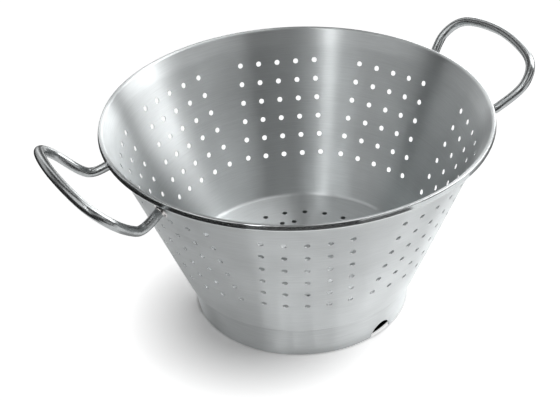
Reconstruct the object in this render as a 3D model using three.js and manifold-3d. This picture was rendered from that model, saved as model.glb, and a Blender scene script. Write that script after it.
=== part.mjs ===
// Colander: a cone-shaped steel bowl with punched holes, a foot ring and two bent rod handles.
// Lengths are in millimetres and +Z is up. The origin is on the table, on the axis of the bowl,
// and the handles lie along the X axis.

import * as THREE from "three";
import { mergeGeometries, mergeVertices } from "three/addons/utils/BufferGeometryUtils.js";
import Module from "manifold-3d";

const wasm = await Module();
wasm.setup();

const degree = Math.PI / 180;

// Driving sizes of the bowl
const rimRadius = 160;
const rimHeight = 173.4;
const floorRadius = 99.5;
const floorHeight = 31.5;
const sheet = 0.8;
const floorFillet = 4;
const clearance = 0.3;

// Rolled rim
const beadRadius = 2.4;
const flareDepth = 10.4;
const flareWidth = 10.4;
const curlEnd = -145 * degree;

// Holes in the wall: panels of five columns and six rows
const holeRadius = 2.25;
const holePitch = 17.1;
const panelColumns = 5;
const panelRows = 6;
const panelCount = 8;
const firstRowDrop = 25.4;
const firstPanelAzimuth = 23 * degree;
const panelStep = 43.9 * degree;
const lastPanelShift = 2.8 * degree;

// Holes in the floor: one full ring and pairs on a smaller ring
const floorRingRadius = 70.5;
const floorRingCount = 24;
const floorRingStart = 11.6 * degree;
const floorPairRadius = 55.5;
const floorPairCount = 8;
const floorPairStart = 26.6 * degree;
const floorPairHalfAngle = 5.7 * degree;

// Foot ring
const footBottomRadius = 92.4;
const footInset = 0.7;
const footSheet = 1.2;
const notchCount = 3;
const notchRadius = 11;
const firstNotchAzimuth = 45 * degree;

// Handles: a round rod bent into a loop that rises away from the bowl
const rodRadius = 4;
const rootAngle = 16.4 * degree;
const rootDrop = 16.4;
const legLength = 18.5;
const elbowReach = 10.5;
const elbowSpread = 3;
const elbowLift = 3.5;
const loopRise = 44 * degree;
const loopReach = 53.4;
const loopHalfWidth = 56.5;
const shoulderReach = 25.4;
const cornerReach = 45.4;
const cornerHalfWidth = 43;

// Welds at the handle ends
const weldWidth = 2;
const weldHeight = 2;
const weldCrest = 0.6;

// Fineness of the facets
const turnSegments = 48;
const curlSegments = 7;
const filletSegments = 2;
const facetTolerance = 0.02;
const holeSides = 6;
const notchSides = 24;
const rodHalfSides = 5;
const rodSteps = 52;
const wireSides = 8;
const weldSides = 12;

// Sizes that follow from the driving sizes
const beadCentreRadius = rimRadius - beadRadius;
const wireRadius = beadRadius - sheet - clearance;
const flareHeight = rimHeight - flareDepth;
const wallAngle = Math.atan2(rimRadius - flareWidth - floorRadius, flareHeight - floorHeight);
const wallTan = Math.tan(wallAngle);
const wallCos = Math.cos(wallAngle);
const wallSin = Math.sin(wallAngle);
const filletCentreRadius = floorRadius + floorFillet * wallTan - floorFillet / wallCos;
const floorUnderside = floorHeight - sheet;
const cutterLength = 10 * sheet;

// Radius of the wall's inner face at a height.
function innerRadius(height) {
  return floorRadius + (height - floorHeight) * wallTan;
}

// Radius of the middle of the wall's sheet at a height.
function middleRadius(height) {
  return innerRadius(height) + sheet / 2 / wallCos;
}

// Radius of the wall's outer face at a height.
function outerRadius(height) {
  return innerRadius(height) + sheet / wallCos;
}

// Points along an arc in the profile plane, both ends included.
function arc(centreRadius, centreHeight, radius, from, to, segments) {
  const points = [];
  for (let i = 0; i <= segments; i += 1) {
    const angle = from + ((to - from) * i) / segments;
    const across = centreRadius + radius * Math.cos(angle);
    points.push(new THREE.Vector2(across, centreHeight + radius * Math.sin(angle)));
  }
  return points;
}

// Closed surface of revolution about Z from a profile of radius and height.
function turned(profile, segments) {
  const geometry = new THREE.LatheGeometry(profile, segments);
  geometry.rotateX(Math.PI / 2);
  return geometry;
}

// A geometry with shared corners and positions only.
function welded(geometry) {
  const plain = geometry.index ? geometry.clone() : mergeVertices(geometry);
  plain.deleteAttribute("normal");
  plain.deleteAttribute("uv");
  return mergeVertices(plain, 1e-4);
}

// Solid for cutting, from a closed geometry.
function solidOf(geometry) {
  const closed = welded(geometry);
  const mesh = new wasm.Mesh({
    numProp: 3,
    vertProperties: new Float32Array(closed.attributes.position.array),
    triVerts: new Uint32Array(closed.index.array),
  });
  return new wasm.Manifold(mesh);
}

// Geometry of a cut solid.
function geometryOf(solid) {
  const mesh = solid.getMesh();
  const geometry = new THREE.BufferGeometry();
  geometry.setAttribute("position", new THREE.BufferAttribute(mesh.vertProperties, 3));
  geometry.setIndex(new THREE.BufferAttribute(mesh.triVerts, 1));
  geometry.computeVertexNormals();
  return geometry;
}

// One named sub-part with its own material.
function part(name, geometry, look) {
  const mesh = new THREE.Mesh(geometry, new THREE.MeshStandardMaterial(look));
  mesh.name = name;
  return mesh;
}

// Steel finishes seen on the object
function satinSteel() {
  return { color: 0xc6c9ca, roughness: 0.36, metalness: 1 };
}

function polishedSteel() {
  return { color: 0xb4b7b9, roughness: 0.16, metalness: 1 };
}

function weldSteel() {
  return { color: 0xa9abad, roughness: 0.3, metalness: 1 };
}

// Outward normal of the wall at an azimuth; it points slightly down.
function wallNormal(azimuth) {
  return new THREE.Vector3(wallCos * Math.cos(azimuth), wallCos * Math.sin(azimuth), -wallSin);
}

// Angle from upright of the straight flare that runs from the wall to the rim's bead.
function flareAngle() {
  const across = beadCentreRadius - innerRadius(flareHeight);
  const tangentTurn = Math.asin(beadRadius / Math.hypot(across, flareDepth));
  return Math.PI / 2 - Math.atan2(flareDepth, across) - tangentTurn;
}

// Bowl profile: up the outside, round the open curl of the rim and down the inside.
function bowlProfile() {
  const filletHeight = floorHeight + floorFillet;
  const filletRadius = floorFillet + sheet;
  const curlStart = Math.PI - flareAngle();
  const inner = beadRadius - sheet;
  return [
    new THREE.Vector2(0, floorUnderside),
    ...arc(filletCentreRadius, filletHeight, filletRadius, -Math.PI / 2, -wallAngle, filletSegments),
    new THREE.Vector2(outerRadius(flareHeight), flareHeight),
    ...arc(beadCentreRadius, rimHeight, inner, curlStart, curlEnd, curlSegments),
    ...arc(beadCentreRadius, rimHeight, beadRadius, curlEnd, curlStart, curlSegments),
    new THREE.Vector2(innerRadius(flareHeight), flareHeight),
    ...arc(filletCentreRadius, filletHeight, floorFillet, -wallAngle, -Math.PI / 2, filletSegments),
    new THREE.Vector2(0, floorHeight),
  ];
}

// Straight cutter for one hole, centred on a point and lying along a direction.
function holeCutter(centre, direction) {
  const cutter = new THREE.CylinderGeometry(holeRadius, holeRadius, cutterLength, holeSides);
  const turn = new THREE.Quaternion();
  turn.setFromUnitVectors(new THREE.Vector3(0, 1, 0), direction);
  cutter.applyQuaternion(turn);
  cutter.translate(centre.x, centre.y, centre.z);
  return cutter;
}

// Azimuth of the middle of a panel; the last panel sits a little further round.
function panelAzimuth(index) {
  const shift = index === panelCount - 1 ? lastPanelShift : 0;
  return firstPanelAzimuth + index * panelStep + shift;
}

// Cutters of one wall panel: a square grid laid on the flat sheet before it was rolled to a cone.
function panelCutters(panel) {
  const apexHeight = floorHeight - middleRadius(floorHeight) / wallTan;
  const firstSlant = middleRadius(rimHeight - firstRowDrop) / wallSin;
  const cutters = [];
  for (let row = 0; row < panelRows; row += 1) {
    for (let column = 0; column < panelColumns; column += 1) {
      const along = firstSlant - row * holePitch;
      const across = (column - (panelColumns - 1) / 2) * holePitch;
      const slant = Math.hypot(along, across);
      const azimuth = panel + Math.atan2(across, along) / wallSin;
      const radius = slant * wallSin;
      const height = apexHeight + slant * wallCos;
      const centre = new THREE.Vector3(
        radius * Math.cos(azimuth),
        radius * Math.sin(azimuth),
        height,
      );
      cutters.push(holeCutter(centre, wallNormal(azimuth)));
    }
  }
  return cutters;
}

// Cutter of one hole in the floor.
function floorCutter(radius, azimuth) {
  const centre = new THREE.Vector3(
    radius * Math.cos(azimuth),
    radius * Math.sin(azimuth),
    floorHeight - sheet / 2,
  );
  return holeCutter(centre, new THREE.Vector3(0, 0, 1));
}

// Cutters of the floor: the full ring, then the pairs inside it.
function floorCutters() {
  const cutters = [];
  for (let i = 0; i < floorRingCount; i += 1) {
    const azimuth = floorRingStart + (i * 2 * Math.PI) / floorRingCount;
    cutters.push(floorCutter(floorRingRadius, azimuth));
  }
  for (let i = 0; i < floorPairCount; i += 1) {
    const middle = floorPairStart + (i * 2 * Math.PI) / floorPairCount;
    cutters.push(floorCutter(floorPairRadius, middle - floorPairHalfAngle));
    cutters.push(floorCutter(floorPairRadius, middle + floorPairHalfAngle));
  }
  return cutters;
}

// Bowl: wall, floor and rolled rim in one sheet, with all its holes.
function bowl() {
  const cutters = floorCutters();
  for (let i = 0; i < panelCount; i += 1) {
    cutters.push(...panelCutters(panelAzimuth(i)));
  }
  const body = solidOf(turned(bowlProfile(), turnSegments));
  const pierced = body.subtract(solidOf(mergeGeometries(cutters)));
  const plain = pierced.asOriginal().simplify(facetTolerance);
  return part("bowl", geometryOf(plain), satinSteel());
}

// Wire inside the curl of the rim.
function rimWire() {
  const ring = new THREE.TorusGeometry(beadCentreRadius, wireRadius, wireSides, turnSegments);
  ring.translate(0, 0, rimHeight);
  return part("rim_wire", welded(ring), polishedSteel());
}

// Foot ring with half-round drain notches in its lower edge.
function footRing() {
  const top = floorUnderside - clearance;
  const topRadius = filletCentreRadius - footInset;
  const profile = [
    new THREE.Vector2(footBottomRadius - footSheet, 0),
    new THREE.Vector2(footBottomRadius, 0),
    new THREE.Vector2(topRadius, top),
    new THREE.Vector2(topRadius - footSheet, top),
    new THREE.Vector2(footBottomRadius - footSheet, 0),
  ];
  let ring = solidOf(turned(profile, turnSegments));
  for (let i = 0; i < notchCount; i += 1) {
    const azimuth = firstNotchAzimuth + (i * 2 * Math.PI) / notchCount;
    const cutter = new THREE.CylinderGeometry(notchRadius, notchRadius, footBottomRadius, notchSides);
    cutter.rotateZ(Math.PI / 2);
    cutter.translate(footBottomRadius, 0, 0);
    cutter.rotateZ(azimuth);
    ring = ring.subtract(solidOf(cutter));
  }
  return part("foot_ring", geometryOf(ring), satinSteel());
}

// Middle of a handle end on the wall's outer face, on one side of the handle's middle.
function rootPoint(side) {
  const height = rimHeight - rootDrop;
  const radius = outerRadius(height);
  const azimuth = side * rootAngle;
  return new THREE.Vector3(radius * Math.cos(azimuth), radius * Math.sin(azimuth), height);
}

// Middle line of the handle on the +X side, from one end to the other.
function handlePath() {
  const normal = wallNormal(rootAngle);
  const root = rootPoint(1).addScaledVector(normal, clearance);
  const legEnd = root.clone().addScaledVector(normal, legLength);
  const elbow = legEnd.clone().add(new THREE.Vector3(elbowReach, elbowSpread, elbowLift));
  const onLoop = (reach, sideways) => new THREE.Vector3(
    elbow.x + reach * Math.cos(loopRise),
    sideways,
    elbow.z + reach * Math.sin(loopRise),
  );
  const shoulder = onLoop(shoulderReach, loopHalfWidth);
  const corner = onLoop(cornerReach, cornerHalfWidth);
  const half = [root, legEnd, elbow, shoulder, corner];
  const mirrored = half.map((point) => new THREE.Vector3(point.x, -point.y, point.z));
  const points = [...half, onLoop(loopReach, 0), ...mirrored.reverse()];
  return new THREE.CatmullRomCurve3(points, false, "catmullrom", 0.5);
}

// One handle, turned about Z to its side of the bowl.
function handle(name, turn) {
  const section = new THREE.Shape();
  section.absarc(0, 0, rodRadius, 0, 2 * Math.PI, false);
  const rod = new THREE.ExtrudeGeometry(section, {
    extrudePath: handlePath(),
    steps: rodSteps,
    curveSegments: rodHalfSides,
    bevelEnabled: false,
  });
  rod.rotateZ(turn);
  return part(name, welded(rod), polishedSteel());
}

// Weld bead round one handle end: a ring that slopes from the wall up to the rod.
function handleWeld(name, turn, side) {
  const inner = rodRadius + clearance;
  const profile = [
    new THREE.Vector2(inner, clearance),
    new THREE.Vector2(inner + weldWidth, clearance),
    new THREE.Vector2(inner + weldCrest, clearance + weldHeight),
    new THREE.Vector2(inner, clearance + weldHeight),
    new THREE.Vector2(inner, clearance),
  ];
  const bead = turned(profile, weldSides);
  const lean = new THREE.Quaternion();
  lean.setFromUnitVectors(new THREE.Vector3(0, 0, 1), wallNormal(side * rootAngle));
  bead.applyQuaternion(lean);
  const root = rootPoint(side);
  bead.translate(root.x, root.y, root.z);
  bead.rotateZ(turn);
  return part(name, welded(bead), weldSteel());
}

// The whole colander
const colander = new THREE.Group();
colander.name = "colander";
colander.add(
  bowl(),
  rimWire(),
  footRing(),
  handle("handle_right", 0),
  handle("handle_left", Math.PI),
  handleWeld("weld_right_back", 0, 1),
  handleWeld("weld_right_front", 0, -1),
  handleWeld("weld_left_front", Math.PI, 1),
  handleWeld("weld_left_back", Math.PI, -1),
);

export default colander;
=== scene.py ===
"""Looks of the colander: a cone-shaped steel bowl with holes, a foot ring and two rod handles.

Lengths are in metres, +Z is up, and the handles lie along the X axis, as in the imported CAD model.
"""

import logging
import math
from dataclasses import dataclass, field
from enum import Enum

import bpy
import numpy as np
from mathutils import Matrix, Vector


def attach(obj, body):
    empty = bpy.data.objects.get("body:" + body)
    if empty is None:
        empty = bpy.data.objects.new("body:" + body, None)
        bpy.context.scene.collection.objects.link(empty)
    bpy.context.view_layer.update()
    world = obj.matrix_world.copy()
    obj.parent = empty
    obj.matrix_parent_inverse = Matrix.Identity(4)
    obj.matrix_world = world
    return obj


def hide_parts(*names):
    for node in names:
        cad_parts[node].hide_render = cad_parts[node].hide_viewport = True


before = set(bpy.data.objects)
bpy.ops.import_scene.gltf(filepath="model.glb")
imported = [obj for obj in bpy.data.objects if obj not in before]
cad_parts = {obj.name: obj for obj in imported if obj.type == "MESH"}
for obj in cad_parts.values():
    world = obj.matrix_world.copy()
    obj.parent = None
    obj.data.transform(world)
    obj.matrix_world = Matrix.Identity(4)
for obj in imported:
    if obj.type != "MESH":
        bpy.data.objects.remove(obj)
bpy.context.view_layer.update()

WELD_STEP = 1e-7
FULL_TURN = 2 * math.pi
IMAGE_WIDTH = 560
PHOTO_TURN = math.radians(-29.41)
SENSOR_WIDTH = 36.0

Array = np.ndarray
Pair = tuple[float, float]
Triple = tuple[float, float, float]
Socket = bpy.types.NodeSocket
LOG = logging.getLogger("colander")

# Angle of a square's lower left corner, and the direction straight up.
FIRST_CORNER = math.radians(225)
UP = np.array([0.0, 0.0, 1.0])

# Noise values between which a finish goes from its dark to its light end, and octaves of noise.
NOISE_RANGE: Pair = (0.35, 0.65)
LINE_DETAIL = 3.0
CLOUD_DETAIL = 2.0

# Turn of the shader's tangent that sets the brush lines round the axis, as a share of a full turn.
BRUSH_TURN = 0.25

# Width over which a finish changes to the rim's polish.
POLISH_EDGE = 0.001

# Points of the studio's grids: bearings and climbs, bearings and reaches, and each side of the floor.
CARD_POINTS = (13, 7)
FLOOR_CARD_POINTS = (25, 5)
FLOOR_POINTS = 5


class Slot(Enum):
    """The record's material slots."""

    SATIN = "satin_steel"
    POLISHED = "polished_steel"
    WIRE = "wire_steel"
    WELD = "weld_steel"


# Surfaces


def polar(radius: Array | float, azimuth: Array | float, height: Array | float) -> Array:
    """Points about the Z axis: x = r cos a, y = r sin a, z = h.

    Args:
        radius: Distance from the Z axis.
        azimuth: Angle about the Z axis, in radians.
        height: Height above the table.

    Returns:
        Points, with the three coordinates on the last axis.
    """
    radius, azimuth, height = np.broadcast_arrays(radius, azimuth, height)
    return np.stack([radius * np.cos(azimuth), radius * np.sin(azimuth), height], axis=-1)


def unit(vectors: Array) -> Array:
    """Vectors divided by their own length."""
    return vectors / np.linalg.norm(vectors, axis=-1, keepdims=True)


def square_ring(across: int, along: int) -> Array:
    """Points round the edge of the square from -1 to 1, starting at its lower left corner.

    Args:
        across: Steps along the lower and upper sides.
        along: Steps along the two other sides.

    Returns:
        Points of shape (2 across + 2 along, 2), going round once.
    """
    forward = np.linspace(-1, 1, across, endpoint=False)
    upward = np.linspace(-1, 1, along, endpoint=False)
    sides = [
        np.stack([forward, -np.ones(across)], axis=-1),
        np.stack([np.ones(along), upward], axis=-1),
        np.stack([-forward, np.ones(across)], axis=-1),
        np.stack([-np.ones(along), -upward], axis=-1),
    ]
    return np.concatenate(sides)


def ring_angles(across: int, along: int) -> Array:
    """Angles that go with square_ring: each side of the square takes a quarter turn of a circle.

    Args:
        across: Steps along the lower and upper sides.
        along: Steps along the two other sides.

    Returns:
        Angles from the lower left corner, 225 degrees, on round one full turn.
    """
    steps = [across, along, across, along]
    quarters = [side + np.arange(count) / count for side, count in enumerate(steps)]
    return FIRST_CORNER + np.concatenate(quarters) * math.pi / 2


@dataclass
class Shell:
    """Grids of points with normals, joined into one closed mesh."""

    points: list[Array] = field(default_factory=list)
    normals: list[Array] = field(default_factory=list)
    quads: list[Array] = field(default_factory=list)
    count: int = 0

    def grid(
        self, points: Array, normals: Array, round_columns: bool = False, round_rows: bool = False
    ) -> None:
        """Adds grids of points: each grid square becomes one face.

        Args:
            points: Points of shape (..., rows, columns, 3).
            normals: Outward normals that broadcast to the points.
            round_columns: Joins the last column to the first.
            round_rows: Joins the last row to the first.
        """
        normals = np.broadcast_to(normals, points.shape)
        index = self.count + np.arange(points.size // 3).reshape(-1, *points.shape[-3:-1])
        if round_columns:
            index = np.concatenate([index, index[:, :, :1]], axis=2)
        if round_rows:
            index = np.concatenate([index, index[:, :1]], axis=1)
        corners = [index[:, :-1, :-1], index[:, :-1, 1:], index[:, 1:, 1:], index[:, 1:, :-1]]
        self.quads.append(np.stack(corners, axis=-1).reshape(-1, 4))
        self.points.append(points.reshape(-1, 3))
        self.normals.append(normals.reshape(-1, 3))
        self.count += points.size // 3

    def joined(self) -> tuple[Array, Array, Array]:
        """Merges points that coincide and turns every face to agree with its normals.

        Returns:
            Merged points, their mean normals, and faces of four corners.
        """
        points = np.concatenate(self.points)
        normals = np.concatenate(self.normals)
        quads = np.concatenate(self.quads)
        diagonals = points[quads[:, 2:]] - points[quads[:, :2]]
        facing = np.cross(diagonals[:, 0], diagonals[:, 1])
        wanted = normals[quads].sum(axis=1)
        backwards = np.einsum("ij,ij->i", facing, wanted) < 0
        quads[backwards] = quads[backwards, ::-1]
        keys = np.round(points / WELD_STEP).astype(np.int64)
        _, first, merged = np.unique(keys, axis=0, return_index=True, return_inverse=True)
        merged = merged.reshape(-1)
        sums = [np.bincount(merged, normals[:, axis], len(first)) for axis in range(3)]
        return points[first], unit(np.stack(sums, axis=-1)), merged[quads]

    def piece(self, name: str) -> bpy.types.Object:
        """Makes the smooth-shaded object; a face with a repeated corner becomes a triangle.

        Args:
            name: Name of the object and its mesh.

        Returns:
            The object, linked to the scene, at the origin.
        """
        points, normals, quads = self.joined()
        repeated = quads == np.roll(quads, -1, axis=1)
        whole = quads[repeated.sum(axis=1) == 0]
        pinched = repeated.sum(axis=1) == 1
        triangles = quads[pinched][~repeated[pinched]].reshape(-1, 3)
        corners = np.concatenate([whole.reshape(-1), triangles.reshape(-1)])
        sizes = np.concatenate([np.full(len(whole), 4), np.full(len(triangles), 3)])
        mesh = bpy.data.meshes.new(name)
        mesh.vertices.add(len(points))
        mesh.vertices.foreach_set("co", points.astype(np.float32).reshape(-1))
        mesh.loops.add(len(corners))
        mesh.loops.foreach_set("vertex_index", corners.astype(np.int32))
        mesh.polygons.add(len(sizes))
        mesh.polygons.foreach_set("loop_start", (np.cumsum(sizes) - sizes).astype(np.int32))
        mesh.polygons.foreach_set("use_smooth", np.ones(len(sizes), dtype=bool))
        mesh.update(calc_edges=True)
        mesh.validate()
        mesh.normals_split_custom_set_from_vertices(normals.tolist())
        piece = bpy.data.objects.new(name, mesh)
        bpy.context.scene.collection.objects.link(piece)
        LOG.info("%s: %d points, %d faces", name, len(points), len(sizes))
        return piece


# Finishes


@dataclass
class NodeSheet:
    """A material's nodes and links, with short calls for the nodes used here."""

    material: bpy.types.Material

    @classmethod
    def named(cls, name: str) -> "NodeSheet":
        """Starts a material with only its shader and output.

        Args:
            name: Name of the material.

        Returns:
            The sheet of the new material.
        """
        material = bpy.data.materials.new(name)
        material.use_nodes = True
        return cls(material)

    @property
    def shader(self) -> bpy.types.Node:
        """The material's principled shader."""
        return self.material.node_tree.nodes["Principled BSDF"]

    def add(self, kind: str, **settings: object) -> bpy.types.Node:
        """Adds a node and sets its properties.

        Args:
            kind: Blender's name of the node type.
            settings: Properties of the node.

        Returns:
            The new node.
        """
        node = self.material.node_tree.nodes.new(kind)
        for key, value in settings.items():
            setattr(node, key, value)
        return node

    def join(self, source: Socket, target: Socket) -> None:
        """Links an output to an input."""
        self.material.node_tree.links.new(source, target)

    def sum(self, operation: str, first: Socket, second: Socket | float) -> Socket:
        """One step of arithmetic.

        Args:
            operation: Blender's name of the operation.
            first: First operand.
            second: Second operand, a socket or a number.

        Returns:
            The result's socket.
        """
        node = self.add("ShaderNodeMath", operation=operation)
        self.join(first, node.inputs[0])
        if isinstance(second, (int, float)):
            node.inputs[1].default_value = second
        else:
            self.join(second, node.inputs[1])
        return node.outputs[0]

    def noise(self, place: Socket, scale: float, detail: float) -> Socket:
        """Noise texture read at a place.

        Args:
            place: Coordinates.
            scale: Waves per metre of the coordinates.
            detail: Octaves of finer noise.

        Returns:
            The noise value's socket, from 0 to 1.
        """
        node = self.add("ShaderNodeTexNoise")
        node.inputs["Scale"].default_value = scale
        node.inputs["Detail"].default_value = detail
        self.join(place, node.inputs["Vector"])
        return node.outputs[0]

    def ramp(self, value: Socket, ends: Pair, results: Pair) -> Socket:
        """Straight map from one range to another, held at its ends.

        Args:
            value: Number to map.
            ends: Range that comes in.
            results: Range that goes out.

        Returns:
            The mapped number's socket.
        """
        node = self.add("ShaderNodeMapRange")
        for key, number in zip(("From Min", "From Max", "To Min", "To Max"), (*ends, *results)):
            node.inputs[key].default_value = number
        self.join(value, node.inputs["Value"])
        return node.outputs["Result"]

    def axis_distance(self, place: Socket) -> Socket:
        """Distance of a place from the Z axis.

        Args:
            place: Coordinates.

        Returns:
            The distance's socket.
        """
        flat = self.add("ShaderNodeVectorMath", operation="MULTIPLY")
        flat.inputs[1].default_value = (1, 1, 0)
        self.join(place, flat.inputs[0])
        radius = self.add("ShaderNodeVectorMath", operation="LENGTH")
        self.join(flat.outputs[0], radius.inputs[0])
        return radius.outputs["Value"]

    def mixed(self, factor: Socket, first: Triple, second: Triple) -> Socket:
        """Colour between two colours.

        Args:
            factor: 0 for the first colour, 1 for the second.
            first: First colour.
            second: Second colour.

        Returns:
            The mixed colour's socket.
        """
        node = self.add("ShaderNodeMix", data_type="RGBA")
        self.join(factor, node.inputs["Factor"])
        node.inputs[6].default_value = (*first, 1)
        node.inputs[7].default_value = (*second, 1)
        return node.outputs[2]


class Lay(Enum):
    """Direction in which a finish was brushed."""

    ROUND_AXIS = "round the bowl's axis"
    NONE = "no single direction"


@dataclass(frozen=True)
class SteelFinish:
    """Bare steel: brush lines and faint clouding in its colour, roughness and relief."""

    name: str
    dark: Triple
    light: Triple
    roughness: Pair
    lay: Lay
    line_spacing: float
    line_length: float
    line_depth: float
    cloud_size: float
    anisotropy: float
    rim_start: float = 1.0
    rim_polish: float = 1.0

    def place(self, sheet: NodeSheet) -> Socket:
        """Coordinates of the brush lines.

        Brushed round the axis, the third coordinate is height plus radius, which grows steadily
        from the middle of the floor to the rim, so that equal values run round the bowl.

        Args:
            sheet: The material's nodes.

        Returns:
            The coordinates' socket, in waves.
        """
        where = sheet.add("ShaderNodeTexCoord").outputs["Object"]
        if self.lay is Lay.NONE:
            return where
        parts = sheet.add("ShaderNodeSeparateXYZ")
        sheet.join(where, parts.inputs[0])
        climb = sheet.sum("ADD", parts.outputs["Z"], sheet.axis_distance(where))
        stretched = sheet.add("ShaderNodeCombineXYZ")
        squeeze = self.line_spacing / self.line_length
        sheet.join(sheet.sum("MULTIPLY", parts.outputs["X"], squeeze), stretched.inputs["X"])
        sheet.join(sheet.sum("MULTIPLY", parts.outputs["Y"], squeeze), stretched.inputs["Y"])
        sheet.join(climb, stretched.inputs["Z"])
        return stretched.outputs[0]

    def make(self) -> bpy.types.Material:
        """Makes the material.

        Returns:
            The finished material.
        """
        sheet = NodeSheet.named(self.name)
        shader = sheet.shader
        shader.inputs["Metallic"].default_value = 1.0
        shader.inputs["Anisotropic"].default_value = self.anisotropy
        shader.inputs["Anisotropic Rotation"].default_value = BRUSH_TURN
        lines = sheet.noise(self.place(sheet), 1 / self.line_spacing, LINE_DETAIL)
        where = sheet.add("ShaderNodeTexCoord").outputs["Object"]
        cloud = sheet.noise(where, 1 / self.cloud_size, CLOUD_DETAIL)
        shade = sheet.sum("MULTIPLY", sheet.sum("ADD", lines, cloud), 0.5)
        tone = sheet.ramp(shade, NOISE_RANGE, (0.0, 1.0))
        sheet.join(sheet.mixed(tone, self.dark, self.light), shader.inputs["Base Color"])
        rough = sheet.ramp(shade, NOISE_RANGE[::-1], self.roughness)
        rim = (self.rim_start, self.rim_start + POLISH_EDGE)
        polish = sheet.ramp(sheet.axis_distance(where), rim, (1.0, self.rim_polish))
        sheet.join(sheet.sum("MULTIPLY", rough, polish), shader.inputs["Roughness"])
        relief = sheet.add("ShaderNodeBump")
        relief.inputs["Strength"].default_value = 1.0
        relief.inputs["Distance"].default_value = self.line_depth
        sheet.join(lines, relief.inputs["Height"])
        sheet.join(relief.outputs[0], shader.inputs["Normal"])
        if self.anisotropy > 0:
            tangent = sheet.add("ShaderNodeTangent", direction_type="RADIAL", axis="Z")
            sheet.join(tangent.outputs[0], shader.inputs["Tangent"])
        return sheet.material


SATIN_STEEL = SteelFinish(
    name="brushed_satin",
    dark=(0.541, 0.56, 0.565),
    light=(0.656, 0.68, 0.685),
    roughness=(0.36, 0.40),
    lay=Lay.ROUND_AXIS,
    line_spacing=0.0004,
    line_length=0.02,
    line_depth=0.000002,
    cloud_size=0.05,
    anisotropy=1.0,
    rim_start=0.158,
    rim_polish=0.36,
)
# The rods' steel: a real polish, and a colour darker than the bowl's steel as painted shade for the
# dark surroundings the rods mirror.
POLISHED_STEEL_PAINTED_DARK = SteelFinish(
    name="rod_polish_painted_dark",
    dark=(0.36, 0.373, 0.377),
    light=(0.44, 0.457, 0.461),
    roughness=(0.23, 0.30),
    lay=Lay.NONE,
    line_spacing=0.002,
    line_length=0.002,
    line_depth=0.00001,
    cloud_size=0.02,
    anisotropy=0.0,
)
WIRE_STEEL = SteelFinish(
    name="drawn_wire",
    dark=(0.36, 0.36, 0.37),
    light=(0.48, 0.48, 0.49),
    roughness=(0.25, 0.4),
    lay=Lay.NONE,
    line_spacing=0.003,
    line_length=0.003,
    line_depth=0.00002,
    cloud_size=0.03,
    anisotropy=0.0,
)
WELD_STEEL = SteelFinish(
    name="weld_metal",
    dark=(0.40, 0.39, 0.38),
    light=(0.62, 0.61, 0.60),
    roughness=(0.16, 0.3),
    lay=Lay.NONE,
    line_spacing=0.0015,
    line_length=0.0015,
    line_depth=0.0001,
    cloud_size=0.004,
    anisotropy=0.0,
)


def dress(piece: bpy.types.Object, finish: SteelFinish, node: str) -> None:
    """Gives a piece its finish and puts it in the place of its CAD node.

    Args:
        piece: The finished piece.
        finish: Its finish; the material is made once and shared.
        node: The CAD node that the piece stands for.
    """
    material = bpy.data.materials.get(finish.name) or finish.make()
    piece.data.materials.append(material)
    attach(piece, "root")
    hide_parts(node)
    LOG.info("%s dressed in %s", piece.name, finish.name)


# Pieces of the colander


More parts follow.
